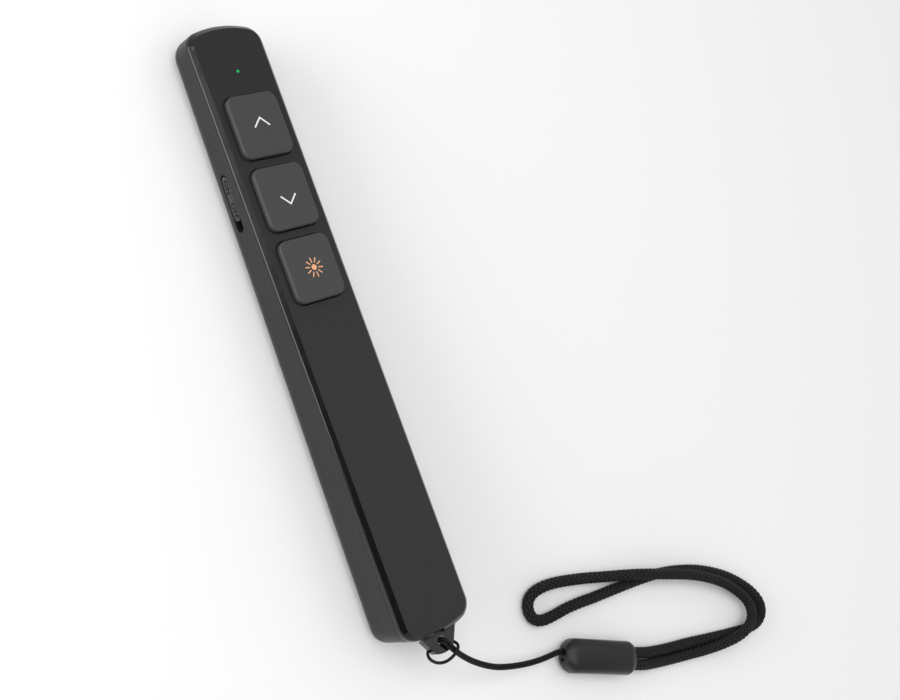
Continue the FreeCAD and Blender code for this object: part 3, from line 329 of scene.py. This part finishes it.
# The doubled cord's middle line, its hitch round the tongue, and the loop, in mm.
PAIR_ROUTE = [
    (40.64, -91.88, 3.2), (39.3, -91.25, 3.2), (36.7, -91.0, 3.45), (32.2, -90.4, 4.1),
    (27.0, -89.2, 5.0), (21.7, -87.5, 6.1), (16.6, -85.5, 7.5), (12.0, -82.9, 9.2),
    (8.0, -80.2, 11.0), (4.9, -77.8, 12.8), (2.6, -75.7, 14.2), (1.0, -73.6, 14.75),
    (0.0, -71.8, 14.75)]
HITCH_ROUTE = [
    (-2.2, -72.9, 10.95), (-3.65, -73.9, 11.9), (-4.0, -75.0, 13.2), (-2.9, -76.1, 14.1),
    (-1.2, -76.4, 14.8), (0.6, -75.9, 15.3), (2.2, -75.2, 15.3), (3.6, -74.5, 14.3),
    (4.1, -73.9, 12.7), (3.2, -73.0, 11.2), (1.7, -72.2, 10.85)]

# How low the strands leave the tongue's hole, and how far apart they lie before it and in it.
HOLE_FOOT = 11.0
STRAND_APART = 0.72
HOLE_APART = 0.86
HOLE_POINTS = 2

LOOP_ROUTE = [
    (61.34, -104.2, 3.2), (64.94, -105.9, 2.8), (70.1, -107.5, 1.8), (76.1, -109.1, 1.4),
    (82.7, -110.6, 1.5), (89.0, -112.0, 2.1), (94.8, -112.8, 3.3), (100.2, -113.1, 4.35),
    (105.0, -112.7, 4.4), (108.7, -111.6, 3.7), (110.7, -109.3, 3.1), (110.6, -106.2, 2.8),
    (108.0, -102.6, 3.0), (103.4, -98.3, 3.6), (97.3, -94.3, 4.1), (91.2, -91.1, 4.25),
    (85.0, -88.6, 4.3), (78.9, -86.2, 4.3), (73.2, -84.0, 4.0), (67.9, -82.2, 3.1),
    (62.8, -80.6, 2.0), (57.5, -78.8, 1.45), (52.0, -77.2, 1.4), (47.0, -75.9, 1.4),
    (42.7, -75.3, 1.4), (38.7, -75.5, 1.4), (36.5, -76.9, 1.4), (35.7, -79.2, 1.4),
    (36.4, -81.5, 1.4), (38.7, -82.9, 1.4), (42.8, -83.2, 1.4), (47.5, -83.1, 1.4),
    (52.5, -83.5, 1.4), (57.6, -84.2, 1.4), (63.0, -84.7, 1.4), (68.9, -85.3, 1.4),
    (75.0, -86.0, 1.4), (81.6, -87.0, 1.4), (88.1, -88.6, 1.4), (94.6, -90.8, 1.4),
    (100.8, -93.7, 1.4), (106.8, -97.4, 1.4), (111.8, -101.7, 1.4), (115.2, -105.7, 1.4),
    (116.75, -109.3, 1.4), (116.1, -112.1, 1.4), (113.4, -113.85, 1.4), (109.3, -113.95, 1.4),
    (104.2, -112.9, 1.4), (97.8, -111.4, 1.4), (91.0, -109.7, 1.4), (84.3, -107.95, 1.4),
    (77.6, -106.5, 1.4), (71.5, -104.9, 1.7), (66.26, -103.1, 2.7), (62.66, -101.4, 3.2)]


# The splines' fineness, the path's spacing in steps, and how a strand's crown and weave are cut.
SPLINE_STEPS = 24
PATH_STEPS = 4
STRAND_NARROWNESS = 1.9
STRAND_LEVEL = 0.62
STRAND_WEAVE = 0.38


def strand_route(side):
    """One strand of the doubled cord, set off sideways from the middle line."""
    middle = [Vector(place) for place in PAIR_ROUTE]
    strand = []
    for index, place in enumerate(middle):
        run = middle[min(index + 1, len(middle) - 1)] - middle[max(index - 1, 0)]
        across = Vector((-run.y, run.x, 0)).normalized()
        apart = HOLE_APART if index >= len(middle) - HOLE_POINTS else STRAND_APART
        strand.append(place + across * (side * apart / 2))
    return strand


def whole_hitch():
    """The thin cord's whole route: out to the tongue, through it, round it and back."""
    out = strand_route(-1)
    back = strand_route(1)
    foot_out = Vector((out[-1].x, out[-1].y, HOLE_FOOT))
    foot_back = Vector((back[-1].x, back[-1].y, HOLE_FOOT))
    hitch = [Vector(place) for place in HITCH_ROUTE]
    if out[-1].x >= back[-1].x:
        hitch.reverse()
    return out + [foot_out] + hitch + [foot_back] + list(reversed(back))


def line_of(name, points):
    """The points of a smooth open spline with the route's points as its controls, in order."""
    curve = bpy.data.curves.new(name + "_route", "CURVE")
    curve.dimensions = "3D"
    curve.resolution_u = SPLINE_STEPS
    spline = curve.splines.new("NURBS")
    spline.points.add(len(points) - 1)
    for control, point in zip(spline.points, points):
        control.co = (*point, 1)
    spline.order_u = 3
    spline.use_endpoint_u = True
    carrier = link(name + "_route", curve)
    bpy.context.view_layer.update()
    mesh = bpy.data.meshes.new_from_object(carrier)
    line = np.array([vertex.co for vertex in mesh.vertices], float)
    bpy.data.objects.remove(carrier)
    bpy.data.meshes.remove(mesh)
    return line


def even_line(line, step):
    """The same line with its points a fixed step apart."""
    runs = np.linalg.norm(np.diff(line, axis=0), axis=1)
    along = np.concatenate([[0.0], np.cumsum(runs)])
    count = int(round(along[-1] / step)) + 1
    wanted = np.linspace(0, along[-1], count)
    return np.stack([np.interp(wanted, along, line[:, axis]) for axis in range(3)], 1), wanted


def frames_along(line):
    """Two directions across the line at each point, carried along without twist."""
    ahead = np.gradient(line, axis=0)
    ahead /= np.linalg.norm(ahead, axis=1)[:, None]
    side = np.zeros_like(line)
    first = np.cross(ahead[0], (0, 0, 1))
    side[0] = first / np.linalg.norm(first)
    for index in range(1, len(line)):
        carried = side[index - 1] - ahead[index] * np.dot(side[index - 1], ahead[index])
        side[index] = carried / np.linalg.norm(carried)
    return side, np.cross(side, ahead)


def braided_tube(name, points, radius, strands, turn, step, around, relief, wide):
    """A tube whose skin is a plain braid of flat strands, crossing over and under.

    The strands go once round in a turn. The relief is the share of the radius that they stand
    out by, and wide is how much the tube has spread sideways.
    """
    line, along = even_line(line_of(name, points), step)
    side, up = frames_along(line)
    angle = np.arange(around) * 2 * math.pi / around
    right = strands * (angle[None, :] / (2 * math.pi) + along[:, None] / turn)
    left = strands * (angle[None, :] / (2 * math.pi) - along[:, None] / turn)
    over = np.cos(math.pi * right) * np.cos(math.pi * left)

    def crown(phase):
        away = np.abs(phase - np.round(phase))
        return np.sqrt(np.clip(1 - (STRAND_NARROWNESS * away) ** 2, 0, 1))

    lie = np.maximum(crown(right) * (STRAND_LEVEL + STRAND_WEAVE * over),
                     crown(left) * (STRAND_LEVEL - STRAND_WEAVE * over))
    reach = radius * (1 - relief + relief * lie)
    skin = (line[:, None, :]
            + side[:, None, :] * (np.cos(angle)[None, :] * reach * wide)[:, :, None]
            + up[:, None, :] * (np.sin(angle)[None, :] * reach)[:, :, None])
    rings = len(line)
    corner = np.arange(rings * around).reshape(rings, around)
    following = np.roll(corner, -1, axis=1)
    quads = np.stack([corner[:-1], following[:-1], following[1:], corner[1:]], -1).reshape(-1, 4)
    ends = [corner[0][::-1].tolist(), corner[-1].tolist()]
    mesh = bpy.data.meshes.new(name)
    mesh.from_pydata(skin.reshape(-1, 3).tolist(), [], quads.tolist() + ends)
    # The strands' height, which the cord's finish turns into painted shade and highlight.
    attribute = mesh.attributes.new("braid", "FLOAT", "POINT")
    attribute.data.foreach_set("value", lie.reshape(-1).astype(np.float32))
    mesh.polygons.foreach_set("use_smooth", [True] * len(mesh.polygons))
    mesh.update()
    mesh.materials.append(cord_black)
    path, _ = even_line(line, PATH_STEPS * step)
    return link(name, mesh), path


CORD_RADIUS = 0.375 * MM
LOOP_RADIUS = 1.4 * MM
hitch_points = [point * MM for point in whole_hitch()]
loop_points = [Vector(point) * MM for point in LOOP_ROUTE]
hitch, hitch_path = braided_tube(
    "lanyard_hitch", hitch_points, CORD_RADIUS, strands=4, turn=2.4 * MM, step=0.1 * MM,
    around=20, relief=0.16, wide=1.06)
loop, loop_path = braided_tube(
    "lanyard_loop", loop_points, LOOP_RADIUS, strands=7, turn=10.4 * MM, step=0.16 * MM,
    around=64, relief=0.2, wide=1.08)


# The cord bead: an oblong bar with rounded corners and ends, and two holes at its near end, each
# given by its place across and up, its radius and its cutter's length. All but the first three in mm.
BEAD_START = Vector((40.3, -92.6, 3.2)) * MM
BEAD_ALONG = Vector((0.905, -0.425, 0)).normalized()
BEAD_ACROSS = Vector((-BEAD_ALONG.y, BEAD_ALONG.x, 0))
BEAD_LONG = 24.0
BEAD_HALF = (4.3, 3.2)
BEAD_END = 3.1
BEAD_END_POWER = 1.4
BEAD_ROUND = (2.7, 1.6)
BEAD_SECTION_POWER = 3.4
BEAD_AROUND = 64
BEAD_END_STEPS = 8
BEAD_SHARP = math.radians(50)
CORD_HOLE = (0.8, 0.0, 0.95, 2.0)
SPARE_HOLE = (-1.1, -0.2, 0.5, 5.0)
bead_frame = Matrix((BEAD_ALONG, BEAD_ACROSS, Vector((0, 0, 1)))).transposed().to_4x4()
bead_frame.translation = BEAD_START


def squared_off(value, power):
    """A sine or cosine bent so that a circle drawn with it turns into a rounded oblong."""
    return math.copysign(abs(value) ** (2 / power), value)


def bead_ring(maker, along, inset_share):
    """One cross-section, pulled in towards the middle near the ends."""
    ring = []
    for index in range(BEAD_AROUND):
        angle = 2 * math.pi * index / BEAD_AROUND
        across = squared_off(math.cos(angle), BEAD_SECTION_POWER)
        rise = squared_off(math.sin(angle), BEAD_SECTION_POWER)
        wide = BEAD_HALF[0] - BEAD_ROUND[0] * inset_share
        high = BEAD_HALF[1] - BEAD_ROUND[1] * inset_share
        ring.append(maker.verts.new((along * MM, across * wide * MM, rise * high * MM)))
    return ring


def bead_hole(across, rise, radius, deep):
    """A cutter for one hole in the bead's near end."""
    maker = bmesh.new()
    bmesh.ops.create_cone(
        maker, cap_ends=True, segments=24, radius1=radius * MM, radius2=radius * MM, depth=deep * MM,
        matrix=Matrix.Translation((0, across * MM, rise * MM)) @ Matrix.Rotation(math.pi / 2, 4, "Y"))
    mesh = bpy.data.meshes.new("bead_cutter")
    maker.to_mesh(mesh)
    maker.free()
    return link("bead_cutter", mesh)


def make_bead():
    """The bead's skin from rings, with its two holes cut."""
    maker = bmesh.new()
    stations = []
    for step in range(BEAD_END_STEPS + 1):
        angle = math.radians(90 * step / BEAD_END_STEPS)
        stations.append((BEAD_END * (1 - math.sin(angle) ** (2 / BEAD_END_POWER)),
                         1 - max(math.cos(angle), 0) ** (2 / BEAD_END_POWER)))
    near = [(along, share) for along, share in reversed(stations)]
    far = [(BEAD_LONG - along, share) for along, share in stations]
    rings = [bead_ring(maker, along, share) for along, share in near + far]
    for first, second in zip(rings, rings[1:]):
        for index in range(BEAD_AROUND):
            following = (index + 1) % BEAD_AROUND
            maker.faces.new((first[index], first[following], second[following], second[index]))
    maker.faces.new(list(reversed(rings[0])))
    maker.faces.new(rings[-1])
    thing = link("lanyard_bead", mesh_from(maker, "lanyard_bead"))
    cutters = [bead_hole(*CORD_HOLE), bead_hole(*SPARE_HOLE)]
    for cutter in cutters:
        cut = thing.modifiers.new("hole", "BOOLEAN")
        cut.object = cutter
        cut.solver = "EXACT"
    bpy.context.view_layer.update()
    graph = bpy.context.evaluated_depsgraph_get()
    final = bpy.data.meshes.new_from_object(thing.evaluated_get(graph))
    thing.modifiers.clear()
    thing.data = final
    for cutter in cutters:
        bpy.data.objects.remove(cutter)
    final.transform(bead_frame)
    final.polygons.foreach_set("use_smooth", [True] * len(final.polygons))
    final.set_sharp_from_angle(angle=BEAD_SHARP)
    final.materials.clear()
    final.materials.append(bead_grey)
    return thing


bead = make_bead()
for piece, node, slot_name in (
        (hitch, "hitch_cord", "cord"), (loop, "wrist_loop", "cord"), (bead, "cord_bead", "bead_plastic")):
    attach(piece, "clicker_case")
    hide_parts(node)


# Marks printed on the keys: two chevrons, each by its left end, apex and right end, and a sun. In mm.
KEY_RISE = 1.25
KEY_MIDDLES = {"page_up": 120.45, "page_down": 103.43, "laser": 86.41}
PRINT_SINK = 0.004
PRINT_THICK = 0.012
STROKE = 0.36
UP_CHEVRON = ((-1.7, -0.47), (0.32, 1.6), (2.34, -0.47))
DOWN_CHEVRON = ((-1.68, 0.15), (0.34, -1.9), (2.36, 0.15))
SUN_PLACE = (0.27, 0.0)
SUN_RADIUS = 0.66
SUN_SIDES = 36
RAYS = 10
RAY_START = 1.2
RAY_END = 2.2
RAY_WIDE = 0.27
RAY_TURN = -9.0
RAY_END_STEPS = 8


def printed(name, outlines, middle, finish, body):
    """Thin raised shapes on a key's top. Each outline is a ring of points about the key's middle."""
    maker = bmesh.new()
    for ring in outlines:
        foot = [maker.verts.new(on_face(u, middle + v, KEY_RISE - PRINT_SINK)) for u, v in ring]
        top = [maker.verts.new(on_face(u, middle + v, KEY_RISE + PRINT_THICK)) for u, v in ring]
        maker.faces.new(top)
        maker.faces.new(list(reversed(foot)))
        for index in range(len(ring)):
            following = (index + 1) % len(ring)
            maker.faces.new((foot[index], foot[following], top[following], top[index]))
    mesh = mesh_from(maker, name)
    mesh.materials.append(finish)
    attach(link(name, mesh), body)


def chevron(left, apex, right):
    """A bent stroke of even width with square ends."""
    (x0, y0), (x1, y1), (x2, y2) = left, apex, right

    def across(ax, ay, bx, by):
        run = math.hypot(bx - ax, by - ay)
        return -(by - ay) / run * STROKE / 2, (bx - ax) / run * STROKE / 2

    nx, ny = across(x0, y0, x1, y1)
    mx, my = across(x1, y1, x2, y2)
    share = 1 + (nx * mx + ny * my) / (STROKE / 2) ** 2
    kx, ky = (nx + mx) / share, (ny + my) / share
    return [(x0 + nx, y0 + ny), (x1 + kx, y1 + ky), (x2 + mx, y2 + my),
            (x2 - mx, y2 - my), (x1 - kx, y1 - ky), (x0 - nx, y0 - ny)]


def round_ended(u0, v0, angle, start, end, wide):
    """A ray with round ends, from one radius to another."""
    ring = []
    for middle, turn_from in ((end, -90), (start, 90)):
        for step in range(RAY_END_STEPS + 1):
            bend = math.radians(turn_from + 180 * step / RAY_END_STEPS)
            along = middle + math.cos(bend) * wide / 2
            aside = math.sin(bend) * wide / 2
            ring.append((u0 + along * math.cos(angle) - aside * math.sin(angle),
                         v0 + along * math.sin(angle) + aside * math.cos(angle)))
    return ring


printed("page_up_mark", [chevron(*UP_CHEVRON)], KEY_MIDDLES["page_up"], print_white, "page_up_key")
printed("page_down_mark", [chevron(*DOWN_CHEVRON)], KEY_MIDDLES["page_down"], print_white,
        "page_down_key")
sun_disc = []
for number in range(SUN_SIDES):
    angle = 2 * math.pi * number / SUN_SIDES
    sun_disc.append((SUN_PLACE[0] + SUN_RADIUS * math.cos(angle),
                     SUN_PLACE[1] + SUN_RADIUS * math.sin(angle)))
rays = []
for number in range(RAYS):
    angle = math.radians(RAY_TURN + 360 / RAYS * number)
    rays.append(round_ended(*SUN_PLACE, angle, RAY_START, RAY_END, RAY_WIDE))
printed("laser_mark", [sun_disc] + rays, KEY_MIDDLES["laser"], print_orange, "laser_key")

# The words on the slide switch, which stand on its outer face, in mm.
SLIDER_FACE = -9.87
SLIDER_LEVEL = 5.85
SLIDER_ALONG = 106.7
SLIDER_MIDDLE = SLIDER_ALONG + FACE_START - 0.102
WORD_THICK = 0.02
WORD_SIZE = 2.1
WORD_AWAY = 2.7


def switch_word(name, word, middle):
    """A word that reads along the slider, towards the strap."""
    text = bpy.data.curves.new(name, "FONT")
    text.body = word
    text.size = WORD_SIZE * MM
    text.extrude = WORD_THICK * MM
    text.align_x = "CENTER"
    text.align_y = "CENTER"
    text.resolution_u = 4
    carrier = link(name + "_text", text)
    bpy.context.view_layer.update()
    mesh = bpy.data.meshes.new_from_object(carrier)
    bpy.data.objects.remove(carrier)
    turn = Matrix(((0, -1, 0), (0, 0, 1), (-1, 0, 0))).transposed().to_4x4()
    turn.translation = Vector((SLIDER_FACE, middle, SLIDER_LEVEL)) * MM
    mesh.transform(turn)
    mesh.materials.clear()
    mesh.materials.append(print_dark)
    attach(link(name, mesh), "power_knob")


switch_word("switch_on_word", "ON", SLIDER_MIDDLE + WORD_AWAY)
switch_word("switch_off_word", "OFF", SLIDER_MIDDLE - WORD_AWAY)

# Floor, light and camera.
FLOOR_HALF = 3.0
FLOOR_TONE = 0.94
HORIZON_TONE = 0.85
ZENITH_TONE = 0.32
CARD_LEFT = -0.6
CARD_ALONG = (-0.6, 0.45)
CARD_HEIGHT = (0.03, 0.7)


def plain_sheet(name, corners, tone, roughness, shine):
    """A flat sheet of one tone that belongs to the stage."""
    mesh = bpy.data.meshes.new(name)
    mesh.from_pydata(corners, [], [(0, 1, 2, 3)])
    thing = link(name, mesh)
    finish, _, shader = new_material(name + "_finish")
    shader.inputs["Base Color"].default_value = (*grey(tone), 1)
    shader.inputs["Roughness"].default_value = roughness
    shader.inputs["Specular IOR Level"].default_value = shine
    mesh.materials.append(finish)
    return thing


floor_corners = [(x * FLOOR_HALF, y * FLOOR_HALF, 0) for x, y in ((-1, -1), (1, -1), (1, 1), (-1, 1))]
plain_sheet("floor", floor_corners, FLOOR_TONE, 0.9, PLAIN_SHINE)

world = bpy.data.worlds.new("studio")
bpy.context.scene.world = world
world.use_nodes = True
sky = world.node_tree
backdrop = sky.nodes["Background"]
backdrop.inputs["Strength"].default_value = 1.0
look = sky.nodes.new("ShaderNodeTexCoord")
height = sky.nodes.new("ShaderNodeSeparateXYZ")
sky.links.new(look.outputs["Generated"], height.inputs["Vector"])
fall = sky.nodes.new("ShaderNodeMapRange")
fall.inputs["To Min"].default_value = HORIZON_TONE
fall.inputs["To Max"].default_value = ZENITH_TONE
sky.links.new(height.outputs["Z"], fall.inputs["Value"])
tone = sky.nodes.new("ShaderNodeCombineColor")
for channel in ("Red", "Green", "Blue"):
    sky.links.new(fall.outputs["Result"], tone.inputs[channel])
sky.links.new(tone.outputs["Color"], backdrop.inputs["Color"])


def softbox(name, place, aim, width, height, radiance):
    """A rectangular lamp of an even brightness that faces a point."""
    lamp = bpy.data.lights.new(name, "AREA")
    lamp.shape = "RECTANGLE"
    lamp.size = width
    lamp.size_y = height
    lamp.energy = radiance * math.pi * width * height
    thing = link(name, lamp)
    thing.location = place
    facing = (Vector(aim) - Vector(place)).to_track_quat("-Z", "Y")
    thing.rotation_euler = facing.to_matrix().to_euler()


softbox("face_light", (0.39, -0.05, 0.66), (0, -0.02, 0), 0.4, 0.4, 0.85)
softbox("rim_light", (-0.55, 0.24, 0.14), (0, 0.24, 0.14), 0.54, 0.22, 6.4)
softbox("bevel_light", (-0.55, 0.30, 0.29), (0, 0.30, 0.29), 0.42, 0.08, 5.0)
softbox("top_light", (-0.28, 0.12, 0.95), (0.02, -0.02, 0), 0.85, 0.85, 1.95)

# A dark card on the left, beyond the strap end, seen only in reflections on the bevel.
card_corners = [
    (CARD_LEFT, CARD_ALONG[0], CARD_HEIGHT[0]), (CARD_LEFT, CARD_ALONG[1], CARD_HEIGHT[0]),
    (CARD_LEFT, CARD_ALONG[1], CARD_HEIGHT[1]), (CARD_LEFT, CARD_ALONG[0], CARD_HEIGHT[1])]
card = plain_sheet("dark_card", card_corners, 0.002, 1.0, 0.0)
card.visible_camera = False
card.visible_diffuse = False
card.visible_shadow = False

camera_data = bpy.data.cameras.new("camera")
camera_data.sensor_width = SENSOR
camera_data.lens = FOCAL_SHARE * SENSOR
camera_data.clip_start = 0.01
camera = link("camera", camera_data)
back = CAMERA_RIGHT.cross(CAMERA_UP)
turn = Matrix((CAMERA_RIGHT, CAMERA_UP, back)).transposed()
camera.matrix_world = Matrix.Translation(CAMERA_PLACE) @ turn.to_4x4()
bpy.context.scene.camera = camera
bpy.context.scene.view_settings.view_transform = "Standard"
